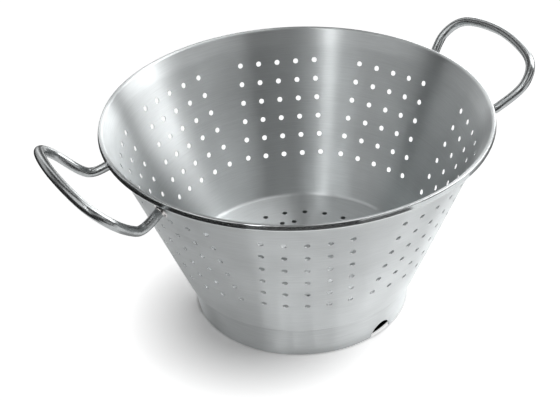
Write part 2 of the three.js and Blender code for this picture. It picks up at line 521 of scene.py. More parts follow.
@dataclass
class Bowl:
    """The bowl: cone wall, flared and rolled rim and flat floor in one sheet, with its holes."""

    rim_radius: float = 0.160
    rim_height: float = 0.1734
    floor_radius: float = 0.0995
    floor_height: float = 0.0315
    sheet: float = 0.0008
    floor_fillet: float = 0.004
    bead_radius: float = 0.0024
    bead_flatness: float = 5.0
    bead_depth: float = 0.9
    bead_tilt: float = math.radians(12)
    flare_depth: float = 0.0104
    flare_width: float = 0.0104
    flare_blend: float = 0.002
    curl_end: float = math.radians(-145)
    hole_radius: float = 0.00225
    hole_edge: float = 0.00018
    hole_pitch: float = 0.0171
    panel_columns: int = 5
    panel_rows: int = 6
    panel_count: int = 8
    panel_margin: float = 0.42
    first_row_drop: float = 0.0254
    first_panel_azimuth: float = math.radians(23)
    panel_step: float = math.radians(43.9)
    last_panel_shift: float = math.radians(2.8)
    floor_ring_radius: float = 0.0705
    floor_ring_count: int = 24
    floor_ring_start: float = math.radians(11.6)
    floor_pair_radius: float = 0.0555
    floor_pair_count: int = 8
    floor_pair_start: float = math.radians(26.6)
    floor_pair_half_angle: float = math.radians(5.7)
    floor_ring_zone: Pair = (0.0629, 0.0795)
    floor_pair_zone: Pair = (0.0470, 0.0629)
    cell_steps: int = 4
    strip_steps: int = 4
    band_steps: int = 3
    bend_points: int = 5
    roll_points: int = 40
    edge_points: int = 7
    fillet_points: int = 7
    floor_edge_steps: int = 4
    floor_cell_steps: int = 8
    pair_cell_steps: int = 6
    disc_steps: int = 3
    wire_clearance: float = 0.0003
    wire_sides: int = 14
    wire_steps: int = 160

    @property
    def flare_height(self) -> float:
        """Height at which the wall breaks into the flare."""
        return self.rim_height - self.flare_depth

    @property
    def wall_angle(self) -> float:
        """Angle of the wall from upright."""
        across = self.rim_radius - self.flare_width - self.floor_radius
        return math.atan2(across, self.flare_height - self.floor_height)

    @property
    def bead_centre(self) -> Array:
        """Radius and height of the middle of the rolled rim."""
        return np.array([self.rim_radius - self.bead_radius, self.rim_height])

    @property
    def fillet_centre(self) -> Array:
        """Radius and height of the middle of the fillet between wall and floor.

        Returns:
            The two numbers.
        """
        rise = self.floor_fillet * math.tan(self.wall_angle)
        radius = self.floor_radius + rise - self.floor_fillet / math.cos(self.wall_angle)
        return np.array([radius, self.floor_height + self.floor_fillet])

    @property
    def floor_underside(self) -> float:
        """Height of the floor's lower face."""
        return self.floor_height - self.sheet

    def inner_radius(self, height: float) -> float:
        """Radius of the wall's inner face at a height."""
        return self.floor_radius + (height - self.floor_height) * math.tan(self.wall_angle)

    def outer_radius(self, height: float) -> float:
        """Radius of the wall's outer face at a height."""
        return self.inner_radius(height) + self.sheet / math.cos(self.wall_angle)

    def middle_radius(self, height: float) -> float:
        """Radius of the middle of the wall's sheet at a height."""
        return self.inner_radius(height) + self.sheet / 2 / math.cos(self.wall_angle)

    def wall_normal(self, azimuth: Array | float) -> Array:
        """Outward normal of the wall at an azimuth; it points slightly down."""
        return polar(math.cos(self.wall_angle), azimuth, -math.sin(self.wall_angle))

    def on_wall(self, slant: Array, azimuth: Array, offset: Array | float) -> Array:
        """Points near the middle of the wall's sheet.

        A cone: radius = slant sin(angle) and height = apex + slant cos(angle), then moved by the
        offset along the wall's outward normal.

        Args:
            slant: Distance from the cone's apex, measured on the sheet.
            azimuth: Angle about the Z axis.
            offset: Distance outwards from the middle of the sheet.

        Returns:
            The points.
        """
        angle = self.wall_angle
        apex = self.floor_height - self.middle_radius(self.floor_height) / math.tan(angle)
        points = polar(slant * math.sin(angle), azimuth, apex + slant * math.cos(angle))
        return points + np.asarray(offset)[..., None] * self.wall_normal(azimuth)

    def panel_azimuths(self) -> Array:
        """Azimuths of the panels' middles; the last one sits a little further round.

        Returns:
            One azimuth for each panel.
        """
        index = np.arange(self.panel_count)
        shift = np.where(index == self.panel_count - 1, self.last_panel_shift, 0.0)
        return self.first_panel_azimuth + index * self.panel_step + shift

    def column_lines(self) -> Array:
        """Lines between the hole columns, on the flat sheet, measured across the panel.

        Returns:
            Distances from the panel's middle line, one more than there are columns.
        """
        half = (self.panel_columns - 1) / 2
        inner = np.arange(self.panel_columns - 1) - half + 0.5
        outer = half + self.panel_margin
        return np.concatenate([[-outer], inner, [outer]]) * self.hole_pitch

    def row_centres(self) -> Array:
        """Slant distances of the hole rows on the panel's middle line, from the top down.

        Returns:
            One distance for each row.
        """
        height = self.rim_height - self.first_row_drop
        first = self.middle_radius(height) / math.sin(self.wall_angle)
        return first - np.arange(self.panel_rows) * self.hole_pitch

    def row_lines(self) -> Array:
        """Lines between the hole rows, from the top down."""
        rows = self.row_centres()
        return np.append(rows, rows[-1] - self.hole_pitch) + self.hole_pitch / 2

    def rings(self) -> tuple[Array, Array, Array, Array]:
        """The six rings round a hole, from the outer face's cell edge through to the inner face's.

        Returns:
            Circle radius (0 means the cell's edge), offset from the sheet's middle, share of the
            face's normal, and share of the hole wall's normal, each of shape (6, 1).
        """
        hole = self.hole_radius
        lip = self.hole_radius + self.hole_edge
        face = self.sheet / 2
        bore = self.sheet / 2 - self.hole_edge
        radius = np.array([0, lip, hole, hole, lip, 0])
        offset = np.array([face, face, bore, -bore, -face, -face])
        flat = np.array([1, 1, 0, 0, -1, -1])
        wall = np.array([0, 0, 1, 1, 0, 0])
        return radius[:, None], offset[:, None], flat[:, None], wall[:, None]

    def add_panels(self, shell: Shell) -> None:
        """Adds the punched cells of all panels.

        Each panel is a square grid of holes on the flat sheet, with across and along measured from
        the apex. Rolled up, slant = hypot(across, along) and azimuth = panel + atan2(across, along)
        / sin(angle). Each cell is a grid that runs from the cell's edge into the hole's circle and
        through the sheet.

        Args:
            shell: Mesh that takes the cells.
        """
        steps = self.cell_steps
        share = (square_ring(steps, steps) + 1) / 2
        angles = ring_angles(steps, steps)
        radius, offset, flat, wall = self.rings()
        columns = self.column_lines()[:, None, None]
        rows = self.row_lines()[:, None, None, None]
        edge_across = columns[:-1] + share[:, 0] * (columns[1:] - columns[:-1])
        edge_along = rows[1:] + share[:, 1] * (rows[:-1] - rows[1:])
        half = (self.panel_columns - 1) / 2
        middle_across = ((np.arange(self.panel_columns) - half) * self.hole_pitch)[:, None, None]
        middle_along = self.row_centres()[:, None, None, None]
        across = np.where(radius == 0, edge_across, middle_across + radius * np.cos(angles))
        along = np.where(radius == 0, edge_along, middle_along + radius * np.sin(angles))
        slant = np.hypot(across, along)
        turn = np.arctan2(across, along) / math.sin(self.wall_angle)
        azimuth = self.panel_azimuths()[:, None, None, None, None] + turn
        offset = np.broadcast_to(offset, azimuth.shape)
        points = self.on_wall(np.broadcast_to(slant, azimuth.shape), azimuth, offset)
        up = polar(math.sin(self.wall_angle), azimuth, math.cos(self.wall_angle))
        sideways = polar(1.0, azimuth + math.pi / 2, 0.0)
        towards_up = -(np.cos(angles) * across + np.sin(angles) * along) / slant
        towards_side = -(np.cos(angles) * along - np.sin(angles) * across) / slant
        inwards = towards_up[..., None] * up + towards_side[..., None] * sideways
        normals = flat[..., None] * self.wall_normal(azimuth) + wall[..., None] * inwards
        shell.grid(points, normals, round_columns=True)

    def add_strips(self, shell: Shell) -> None:
        """Adds the plain strips between panels, on both faces.

        A strip runs from one panel's right edge to the next one's left edge. Both edges have the
        same slants, so azimuth goes straight from one to the other at each slant.

        Args:
            shell: Mesh that takes the strips.
        """
        azimuth, slant = self.strip_places()
        for side in (1, -1):
            points = self.on_wall(slant, azimuth, np.full(azimuth.shape, side * self.sheet / 2))
            shell.grid(points, side * self.wall_normal(azimuth))

    def strip_places(self) -> tuple[Array, Array]:
        """Places of the plain strips' points.

        Returns:
            Azimuths and slants, of shape (panels, rows, columns).
        """
        edge = self.column_lines()[-1]
        lines = self.row_lines()
        along = np.linspace(lines[0], lines[-1], self.panel_rows * self.cell_steps + 1)
        turn = np.arctan2(edge, along) / math.sin(self.wall_angle)
        middles = self.panel_azimuths()
        left = middles[:, None] + turn
        following = np.append(middles[1:], middles[0] + FULL_TURN)
        right = following[:, None] - turn
        share = np.linspace(0, 1, self.strip_steps + 1)
        azimuth = left[..., None] + (right - left)[..., None] * share
        slant = np.broadcast_to(np.hypot(edge, along)[:, None], azimuth.shape)
        return azimuth, slant

    def panel_edge(self, top: bool) -> tuple[Array, Array]:
        """The closed line along one edge of all panels and strips.

        Args:
            top: The upper edge, or else the lower one.

        Returns:
            Azimuths and slants, once round the bowl.
        """
        row = 0 if top else -1
        lines = self.column_lines()
        share = np.arange(self.cell_steps) / self.cell_steps
        across = (lines[:-1, None] + share * np.diff(lines)[:, None]).reshape(-1)
        along = self.row_lines()[row]
        turn = np.arctan2(across, along) / math.sin(self.wall_angle)
        panel_azimuth = self.panel_azimuths()[:, None] + turn
        panel_slant = np.broadcast_to(np.hypot(across, along), panel_azimuth.shape)
        strip_azimuth, strip_slant = self.strip_places()
        azimuth = np.concatenate([panel_azimuth, strip_azimuth[:, row, :-1]], axis=1)
        slant = np.concatenate([panel_slant, strip_slant[:, row, :-1]], axis=1)
        return azimuth.reshape(-1), slant.reshape(-1)

    def add_bands(self, shell: Shell) -> None:
        """Adds the plain bands of wall above and below the panels, on both faces.

        Slant goes straight from the panels' edge to the break of the flare or to the fillet.

        Args:
            shell: Mesh that takes the bands.
        """
        sine = math.sin(self.wall_angle)
        bend = self.floor_fillet + self.sheet / 2
        fillet = self.fillet_centre[0] + bend * math.cos(self.wall_angle)
        share = np.linspace(0, 1, self.band_steps + 1)[:, None]
        for top, far_slant in ((True, self.flare_start()[0] / sine), (False, fillet / sine)):
            azimuth, slant = self.panel_edge(top)
            slants = slant + (far_slant - slant) * share
            azimuths = np.broadcast_to(azimuth, slants.shape)
            for side in (1, -1):
                offset = np.full(slants.shape, side * self.sheet / 2)
                points = self.on_wall(slants, azimuths, offset)
                shell.grid(points, side * self.wall_normal(azimuths), round_columns=True)

    def flare_angle(self) -> float:
        """Angle from upright of the straight flare, which touches the rolled rim.

        Returns:
            The angle, in radians.
        """
        across = self.bead_centre[0] - self.inner_radius(self.flare_height)
        turn = math.asin(self.bead_radius / math.hypot(across, self.flare_depth))
        return math.pi / 2 - math.atan2(self.flare_depth, across) - turn

    def flare_start(self) -> Array:
        """Place, in the middle of the sheet, where the wall starts to bend.

        Returns:
            Its radius and height.
        """
        angle = self.wall_angle
        corner = np.array([self.inner_radius(self.flare_height), self.flare_height])
        along = np.array([math.sin(angle), math.cos(angle)])
        outward = np.array([math.cos(angle), -math.sin(angle)])
        return corner - self.flare_blend * along + self.sheet / 2 * outward

    def roll_section(self, angles: Array) -> tuple[Array, Array]:
        """Section of the roll, of radius 1: a circle whose outer half is pressed flatter.

        The outer half is the curve (x / d)^k + z^k = 1, with the depth d and the flatness k, turned
        up by the tilt; k = 2 and d = 1 give the circle.

        Args:
            angles: Angles round the roll's middle.

        Returns:
            Points and their normals.
        """
        angles = angles[:, None] - self.bead_tilt
        circle = np.concatenate([np.cos(angles), np.sin(angles)], axis=1)
        stretch = np.array([self.bead_depth, 1.0])
        power = 2 / self.bead_flatness
        pressed = np.sign(circle) * np.abs(circle) ** power * stretch
        lean = unit(np.sign(circle) * np.abs(circle) ** (2 - power) / stretch)
        outer = circle[:, :1] > 0
        turn = np.array(Matrix.Rotation(self.bead_tilt, 2))
        return np.where(outer, pressed, circle) @ turn.T, np.where(outer, lean, circle) @ turn.T

    def rim_profile(self) -> tuple[Array, Array]:
        """Section of the flare and the rolled rim, up the inside, round the roll and down again.

        The flare starts with an arc that touches wall and flare. The roll goes round the bead's
        middle, its inner face one sheet behind the outer one, and its edge is a half circle.

        Returns:
            Points of radius and height, and their normals.
        """
        wall, flare = self.wall_angle, self.flare_angle()
        bend = self.flare_blend / math.tan((flare - wall) / 2)
        middle = (flare + wall) / 2
        corner = np.array([self.inner_radius(self.flare_height), self.flare_height])
        lean = np.array([math.cos(middle), -math.sin(middle)])
        bend_centre = corner + lean * bend / math.cos((flare - wall) / 2)
        angles = np.linspace(wall, flare, self.bend_points)[:, None]
        outward = np.concatenate([np.cos(angles), -np.sin(angles)], axis=1)
        around = np.linspace(math.pi - flare, self.curl_end, self.roll_points)
        roll, spoke = self.roll_section(around)
        edge = np.linspace(0, math.pi, self.edge_points)[1:-1, None]
        last = np.array([spoke[-1]])
        ahead = np.array([[last[0, 1], -last[0, 0]]])
        edge_spoke = np.cos(edge) * last + np.sin(edge) * ahead
        edge_centre = self.bead_centre + last * (self.bead_radius - self.sheet / 2)
        points = [
            bend_centre - outward * bend,
            self.bead_centre + roll * self.bead_radius,
            edge_centre + edge_spoke * self.sheet / 2,
            self.bead_centre + roll[::-1] * self.bead_radius - spoke[::-1] * self.sheet,
            bend_centre - outward[::-1] * (bend - self.sheet),
        ]
        normals = [-outward, spoke, edge_spoke, -spoke[::-1], outward[::-1]]
        return np.concatenate(points), np.concatenate(normals)

    def add_rim(self, shell: Shell) -> None:
        """Adds the flare and the rolled rim: their section turned about the Z axis.

        Args:
            shell: Mesh that takes the rim.
        """
        azimuth, _ = self.panel_edge(True)
        points, normals = self.rim_profile()
        surface = polar(points[:, :1], azimuth, points[:, 1:])
        shell.grid(surface, polar(normals[:, :1], azimuth, normals[:, 1:]), round_columns=True)

    def floor_azimuths(self) -> Array:
        """Even azimuths of the floor's grid, started next to those of the wall's lower edge.

        Returns:
            As many azimuths as the wall's lower edge has.
        """
        wall, _ = self.panel_edge(False)
        step = FULL_TURN / len(wall)
        start = self.floor_ring_start - FULL_TURN / self.floor_ring_count / 2
        even = start + step * np.arange(len(wall))
        return even + step * round(float(np.mean(wall - even)) / step)

    def add_floor_edge(self, shell: Shell) -> None:
        """Adds the fillet between wall and floor and the plain outer part of the floor.

        The fillet is an arc turned about the Z axis. On the flat part the azimuths go straight
        from those of the wall to the even ones of the floor.

        Args:
            shell: Mesh that takes the surfaces.
        """
        wall, _ = self.panel_edge(False)
        even = self.floor_azimuths()
        angles = np.linspace(-self.wall_angle, -math.pi / 2, self.fillet_points)[:, None]
        centre = self.fillet_centre
        share = np.linspace(0, 1, self.floor_edge_steps + 1)[:, None]
        radius = centre[0] + (self.floor_ring_zone[1] - centre[0]) * share
        azimuth = wall + (even - wall) * share
        for side, bend, height in (
            (1, self.floor_fillet + self.sheet, self.floor_underside),
            (-1, self.floor_fillet, self.floor_height),
        ):
            across = centre[0] + bend * np.cos(angles)
            arc = polar(across, wall, centre[1] + bend * np.sin(angles))
            shell.grid(arc, side * polar(np.cos(angles), wall, np.sin(angles)), round_columns=True)
            shell.grid(polar(radius, azimuth, height), -side * UP, round_columns=True)

    def add_floor_cells(
        self, shell: Shell, zone: Pair, reach: float, holes: Array, left: Array, width: float,
        steps: int,
    ) -> None:
        """Adds punched cells of the floor, each a sector of a ring with one hole.

        Args:
            shell: Mesh that takes the cells.
            zone: Inner and outer radius of the cells.
            reach: Distance of the holes from the Z axis.
            holes: Azimuths of the holes.
            left: Azimuths at which the cells start.
            width: Width of a cell as an angle.
            steps: Grid steps across a cell.
        """
        share = (square_ring(steps, self.cell_steps) + 1) / 2
        angles = ring_angles(steps, self.cell_steps)
        radius, offset, flat, wall = self.rings()
        edge_radius = zone[0] + share[:, 1] * (zone[1] - zone[0])
        edge = polar(edge_radius, left[:, None, None] + share[:, 0] * width, 0.0)
        azimuth = holes[:, None, None]
        sideways = polar(1.0, azimuth + math.pi / 2, 0.0)
        outwards = polar(1.0, azimuth, 0.0)
        spoke = np.cos(angles)[:, None] * sideways + np.sin(angles)[:, None] * outwards
        circle = reach * outwards + radius[..., None] * spoke
        points = np.where(radius[..., None] == 0, edge, circle)
        points[..., 2] = self.floor_height - self.sheet / 2 - offset
        normals = -flat[..., None] * UP - wall[..., None] * spoke
        shell.grid(points, normals, round_columns=True)

    def add_floor(self, shell: Shell) -> None:
        """Adds the floor: the ring of holes, the pairs with plain sectors between, and the middle.

        Args:
            shell: Mesh that takes the floor.
        """
        zone, reach, steps = self.floor_ring_zone, self.floor_ring_radius, self.floor_cell_steps
        width = FULL_TURN / self.floor_ring_count
        holes = self.floor_ring_start + np.arange(self.floor_ring_count) * width
        self.add_floor_cells(shell, zone, reach, holes, holes - width / 2, width, steps)
        zone, reach, steps = self.floor_pair_zone, self.floor_pair_radius, self.pair_cell_steps
        sector = FULL_TURN / self.floor_pair_count
        middles = self.floor_pair_start + np.arange(self.floor_pair_count) * sector
        cell = sector / 4
        for side in (-1, 1):
            holes = middles + side * self.floor_pair_half_angle
            left = middles + min(side, 0) * cell
            self.add_floor_cells(shell, zone, reach, holes, left, cell, steps)
        plain = (middles + cell)[:, None, None] + np.linspace(0, 2 * cell, 2 * steps + 1)
        depth = np.linspace(*zone, self.cell_steps + 1)[:, None]
        disc = np.linspace(zone[0], 0, self.disc_steps + 1)[:, None]
        for side, height in ((1, self.floor_height), (-1, self.floor_underside)):
            shell.grid(polar(depth, plain, height), side * UP)
            shell.grid(polar(disc, self.floor_azimuths(), height), side * UP, round_columns=True)

    def build(self) -> bpy.types.Object:
        """Builds the bowl as one closed sheet.

        Returns:
            The bowl's object.
        """
        shell = Shell()
        self.add_panels(shell)
        self.add_strips(shell)
        self.add_bands(shell)
        self.add_rim(shell)
        self.add_floor_edge(shell)
        self.add_floor(shell)
        return shell.piece("bowl_sheet")

    def build_wire(self) -> bpy.types.Object:
        """Builds the wire inside the rolled rim: a circle carried round the Z axis.

        Returns:
            The wire's object.
        """
        radius = self.bead_radius - self.sheet - self.wire_clearance
        around = np.linspace(0, FULL_TURN, self.wire_sides, endpoint=False)[:, None]
        azimuth = np.linspace(0, FULL_TURN, self.wire_steps, endpoint=False)
        across = self.bead_centre[0] + radius * np.cos(around)
        shell = Shell()
        normals = polar(np.cos(around), azimuth, np.sin(around))
        surface = polar(across, azimuth, self.bead_centre[1] + radius * np.sin(around))
        shell.grid(surface, normals, round_columns=True, round_rows=True)
        return shell.piece("rim_bead_wire")


@dataclass
class FootRing:
    """The foot: a tapered band with half-round drain notches in its lower edge."""

    bowl: Bowl
    bottom_radius: float = 0.0924
    inset: float = 0.0007
    sheet: float = 0.0012
    notch_count: int = 3
    notch_radius: float = 0.011
    first_notch_azimuth: float = math.radians(45)
    notch_corner: float = 0.0008
    notch_points: int = 14
    corner_points: int = 5
    straight_points: int = 24
    rise_points: int = 6
    rounding_points: int = 7

    @property
    def top(self) -> float:
        """Height of the upper edge, at the bowl's underside."""
        return self.bowl.floor_underside

    @property
    def slope(self) -> float:
        """Growth of the radius with height."""
        return (self.bowl.fillet_centre[0] - self.inset - self.bottom_radius) / self.top

    def lower_edge(self) -> tuple[Array, Array]:
        """Lower edge of the band with one notch, on the unrolled band.

        From the notch's middle outwards: the notch's arc, a small arc that rounds the corner, and
        the straight edge up to halfway to the next notch. The other half is its mirror image.

        Returns:
            Points of distance along the edge and height, and the normals out of the metal.
        """
        corner = self.notch_corner
        reach = math.sqrt((self.notch_radius + corner) ** 2 - corner**2)
        lift = math.atan2(corner, reach)
        arc = np.linspace(math.pi / 2, lift, self.notch_points)[:, None]
        spoke = np.concatenate([np.cos(arc), np.sin(arc)], axis=1)
        turn = np.linspace(math.pi + lift, 1.5 * math.pi, self.corner_points)[1:, None]
        bend = np.concatenate([np.cos(turn), np.sin(turn)], axis=1)
        halfway = self.bottom_radius * math.pi / self.notch_count
        straight = np.linspace(reach, halfway, self.straight_points)[1:, None]
        flat = np.concatenate([straight, np.zeros_like(straight)], axis=1)
        down = np.broadcast_to([0.0, -1.0], flat.shape)
        bend_centre = np.array([reach, corner])
        points = np.concatenate([spoke * self.notch_radius, bend_centre + bend * corner, flat])
        normals = np.concatenate([-spoke, bend, down])
        mirror = np.array([-1, 1])
        return (
            np.concatenate([points[:0:-1] * mirror, points[:-1]]),
            np.concatenate([normals[:0:-1] * mirror, normals[:-1]]),
        )

    def build(self) -> bpy.types.Object:
        """Builds the band as a section carried along its lower edge and round the Z axis.

        Each section goes up the outer face, over the top, down the inner face and round the lower
        edge in a half circle that leans along the edge's own normal.

        Returns:
            The foot's object.
        """
        edge, out_of_metal = self.lower_edge()
        rounding = self.sheet / 2
        start = edge - rounding * out_of_metal
        repeat = self.notch_count
        notch = np.arange(repeat) * FULL_TURN / repeat + self.first_notch_azimuth
        face = np.ones(self.rise_points)
        rise = np.linspace(0, 1, self.rise_points)[:, None]
        around = np.linspace(0, math.pi, self.rounding_points)[:, None]
        height = start[:, 1] + (self.top - start[:, 1]) * rise
        over = np.sin(around) * rounding
        lower = start[:, 1] + over * out_of_metal[:, 1]
        sideways = start[:, 0] + over * out_of_metal[:, 0]
        heights = np.concatenate([height, height[::-1], lower[-2:0:-1]])
        straight = np.broadcast_to(start[:, 0], height.shape)
        along = np.concatenate([straight, straight, sideways[-2:0:-1]])
        shares = np.concatenate([face, -face, np.cos(around[-2:0:-1, 0])])[:, None]
        downs = np.concatenate([0 * face, 0 * face, np.sin(around[-2:0:-1, 0])])[:, None]
        middle = self.bottom_radius - rounding + self.slope * heights
        azimuth = notch[:, None, None] + along / self.bottom_radius
        azimuth = np.moveaxis(azimuth, 0, 1).reshape(len(heights), -1)
        radius = np.tile(middle + shares * rounding, repeat)
        points = polar(radius, azimuth, np.tile(heights, repeat))
        lean = math.hypot(1, self.slope)
        outward = polar(1 / lean, azimuth, -self.slope / lean)
        edge_side = np.tile(downs * out_of_metal[:, 0], repeat)[..., None]
        edge_down = np.tile(downs * out_of_metal[:, 1], repeat)[..., None]
        normals = shares[..., None] * outward
        normals = normals + edge_side * polar(1.0, azimuth + math.pi / 2, 0.0)
        normals = normals + edge_down * UP
        shell = Shell()
        shell.grid(points, normals, round_columns=True, round_rows=True)
        return shell.piece("foot_band")


@dataclass
class Handle:
    """One loop handle: a round rod bent from the wall outwards, up and round."""

    bowl: Bowl
    rod_radius: float = 0.004
    root_angle: float = math.radians(16.4)
    root_drop: float = 0.0164
    clearance: float = 0.0003
    leg_length: float = 0.0185
    elbow: Triple = (0.0105, 0.003, 0.0035)
    loop_rise: float = math.radians(44)
    loop_reach: float = 0.0534
    loop_half_width: float = 0.0565
    shoulder_reach: float = 0.0254
    corner_reach: float = 0.0454
    corner_half_width: float = 0.043
    weld_width: float = 0.0024
    weld_height: float = 0.0022
    weld_ripple: float = 0.00022
    weld_waves: Pair = (11, 5)
    second_wave: float = 0.6
    wave_shift: float = 1.3
    line_points: int = 170
    fine_points: int = 4000
    rod_sides: int = 24
    weld_sides: int = 48
    weld_points: int = 8

    def root(self, side: int) -> tuple[Array, Array]:
        """Middle of a handle end on the wall's outer face, and the wall's normal there.

        Args:
            side: 1 for the end on the +Y side, -1 for the other, on the +X handle.

        Returns:
            The point and the normal.
        """
        height = self.bowl.rim_height - self.root_drop
        azimuth = side * self.root_angle
        point = polar(self.bowl.outer_radius(height), azimuth, height)
        return point, self.bowl.wall_normal(azimuth)

    def bends(self) -> Array:
        """Points that the rod's middle line goes through, on the +X handle.

        Returns:
            The points, from the end on the +Y side round to the other end.
        """
        point, normal = self.root(1)
        start = point + self.clearance * normal
        leg_end = start + self.leg_length * normal
        elbow = leg_end + np.array(self.elbow)
        reach = np.array([self.shoulder_reach, self.corner_reach, self.loop_reach])
        loop = np.stack([
            elbow[0] + reach * math.cos(self.loop_rise),
            np.array([self.loop_half_width, self.corner_half_width, 0.0]),
            elbow[2] + reach * math.sin(self.loop_rise),
        ], axis=-1)
        half = np.concatenate([[start, leg_end, elbow], loop])
        return np.concatenate([half, half[-2::-1] * np.array([1, -1, 1])])

    def middle_line(self) -> tuple[Array, Array]:
        """Smooth line through the bends, evenly spaced along its length.

        A cubic between each two bends whose slope at a bend is half the step from the bend before
        to the bend after.

        Returns:
            The points and unit tangents.
        """
        bends = self.bends()
        first, last = 2 * bends[0] - bends[1], 2 * bends[-1] - bends[-2]
        padded = np.concatenate([[first], bends, [last]])
        share = np.linspace(0, len(bends) - 1, self.fine_points)
        index = np.minimum(share.astype(int), len(bends) - 2)
        step = (share - index)[:, None]
        before, start, end, after = (padded[index + shift] for shift in range(4))
        leave, arrive = (end - before) / 2, (after - start) / 2
        line = (
            (2 * step**3 - 3 * step**2 + 1) * start
            + (step**3 - 2 * step**2 + step) * leave
            + (3 * step**2 - 2 * step**3) * end
            + (step**3 - step**2) * arrive
        )
        length = np.append(0, np.cumsum(np.linalg.norm(np.diff(line, axis=0), axis=1)))
        even = np.linspace(0, length[-1], self.line_points)
        points = np.stack([np.interp(even, length, line[:, axis]) for axis in range(3)], axis=-1)
        return points, unit(np.gradient(points, axis=0))

    def build(self, name: str, turn: float) -> bpy.types.Object:
        """Builds the rod: a circle carried along the middle line, closed at both ends.

        Args:
            name: Name of the piece.
            turn: Turn about the Z axis, to the handle's side of the bowl.

        Returns:
            The rod's object.
        """
        line, tangent = self.middle_line()
        sunk = self.clearance + self.bowl.sheet / 4
        line[0] = line[0] - sunk * tangent[0]
        line[-1] = line[-1] + sunk * tangent[-1]
        flat = np.array([-math.sin(self.loop_rise), 0.0, math.cos(self.loop_rise)])
        sideways = unit(np.cross(tangent, flat))
        upward = np.cross(sideways, tangent)
        around = np.linspace(0, FULL_TURN, self.rod_sides, endpoint=False)[:, None]
        spoke = np.cos(around) * sideways[:, None] + np.sin(around) * upward[:, None]
        surface = line[:, None] + self.rod_radius * spoke
        shell = Shell()
        shell.grid(turned(surface, turn), turned(spoke, turn), round_columns=True)
        for end, back in ((0, -1), (-1, 1)):
            middle = np.broadcast_to(line[end], surface[end].shape)
            cap = np.stack([surface[end], middle])
            shell.grid(turned(cap, turn), turned(back * tangent[end], turn), round_columns=True)
        return shell.piece(name)

    def build_weld(self, name: str, turn: float, side: int) -> bpy.types.Object:
        """Builds the weld bead round one end of the rod.

        A hollow fillet about the rod: radius and height follow a quarter circle from the wall up
        to the rod. Two waves of different lengths round the rod make its surface uneven. The bead
        is closed inside the rod and under the wall's face.

        Args:
            name: Name of the piece.
            turn: Turn about the Z axis, to the handle's side of the bowl.
            side: Which end of the rod.

        Returns:
            The weld's object.
        """
        root, normal = self.root(side)
        across = unit(np.cross(UP, normal))
        upward = np.cross(normal, across)
        around = np.linspace(0, FULL_TURN, self.weld_sides, endpoint=False)
        sweep = np.linspace(0, math.pi / 2, self.weld_points)[:, None]
        short, long = self.weld_waves
        waves = np.sin(short * around) + self.second_wave * np.sin(long * around + self.wave_shift)
        ripple = self.weld_ripple * waves
        wide = self.weld_width + ripple
        tall = self.weld_height + ripple
        radius = self.rod_radius + wide * (1 - np.sin(sweep))
        height = tall * (1 - np.cos(sweep))
        sunk = self.bowl.sheet / 4
        inside = np.full((2, self.weld_sides), self.rod_radius - sunk)
        under = np.full((2, self.weld_sides), -sunk)
        radius = np.concatenate([radius, inside, radius[:1]])
        height = np.concatenate([height, tall[None], under])
        spoke = np.cos(around)[:, None] * across + np.sin(around)[:, None] * upward
        curve = (radius * np.cos(around)) ** 2 / 2 / self.bowl.outer_radius(root[2])
        points = root + radius[..., None] * spoke + (height - curve)[..., None] * normal
        tilt = np.concatenate([np.sin(sweep), [[0.5], [-1.0], [0.0]]])[..., None]
        lift = np.concatenate([np.cos(sweep), [[0.8], [-0.3], [-1.0]]])[..., None]
        normals = unit(tilt * spoke + lift * normal)
        shell = Shell()
        shell.grid(turned(points, turn), turned(normals, turn), round_columns=True, round_rows=True)
        return shell.piece(name)


def turned(vectors: Array, turn: float) -> Array:
    """Vectors turned about the Z axis."""
    matrix = np.array(Matrix.Rotation(turn, 3, "Z"))
    return vectors @ matrix.T


# Studio


def bearing_point(bearing: Array | float, climb: Array | float, distance: Array | float) -> Array:
    """Points of the studio as the camera sees it round the bowl.

    Args:
        bearing: Degrees about the Z axis: 0 is the photo's right, 90 behind, 270 the camera.
        climb: Degrees above the floor.
        distance: Distance from the bowl's axis at floor level.

    Returns:
        The points.
    """
    azimuth = np.radians(bearing) + PHOTO_TURN
    rise = np.radians(climb)
    return polar(distance * np.cos(rise), azimuth, distance * np.sin(rise))


@dataclass(frozen=True)
class Lamp:
    """A rectangular soft lamp, aimed at the bowl."""

    name: str
    bearing: float
    climb: float
    size: Pair
    power: float
    distance: float = 2.4

    def build(self, aim: Vector) -> None:
        """Adds the lamp to the scene.

        Args:
            aim: Point that the lamp is turned towards.
        """
        data = bpy.data.lights.new(self.name, "AREA")
        data.shape = "RECTANGLE"
        data.size, data.size_y = self.size
        data.energy = self.power
        lamp = bpy.data.objects.new(self.name, data)
        lamp.visible_glossy = False
        lamp.location = Vector(bearing_point(self.bearing, self.climb, self.distance))
        lamp.rotation_euler = (aim - lamp.location).to_track_quat("-Z", "Y").to_euler()
        bpy.context.scene.collection.objects.link(lamp)
        LOG.info("lamp %s", self.name)


@dataclass(frozen=True)
class Card:
    """A curved card of even brightness that only the steel mirrors: a dark one acts as a
    photographer's flag, a bright one is a painted reflection of a light.
    """

    name: str
    bearings: Pair
    climbs: Pair
    shade: float
    distance: float = 2.6

    def build(self) -> None:
        """Adds the card: a patch of a sphere about the bowl, even in bearing and climb."""
        bearing = np.linspace(*self.bearings, CARD_POINTS[0])
        climb = np.linspace(*self.climbs, CARD_POINTS[1])[:, None]
        points = bearing_point(bearing, climb, self.distance)
        hang_card(self.name, points, -points, self.shade)


@dataclass(frozen=True)
class FloorCard:
    """A flat card that lies on the floor away from the bowl, which only the steel mirrors: a dark one
    is a painted reflection of shade on the floor, a bright one a painted reflection of light on it.
    """

    name: str
    bearings: Pair
    reach: Pair
    shade: float
    lift: float = 0.002

    def build(self) -> None:
        """Adds the card: a sector of a ring about the bowl, just above the floor."""
        bearing = np.linspace(*self.bearings, FLOOR_CARD_POINTS[0])
        reach = np.linspace(*self.reach, FLOOR_CARD_POINTS[1])[:, None]
        points = bearing_point(bearing, 0.0, reach) + self.lift * UP
        hang_card(self.name, points, UP, self.shade)


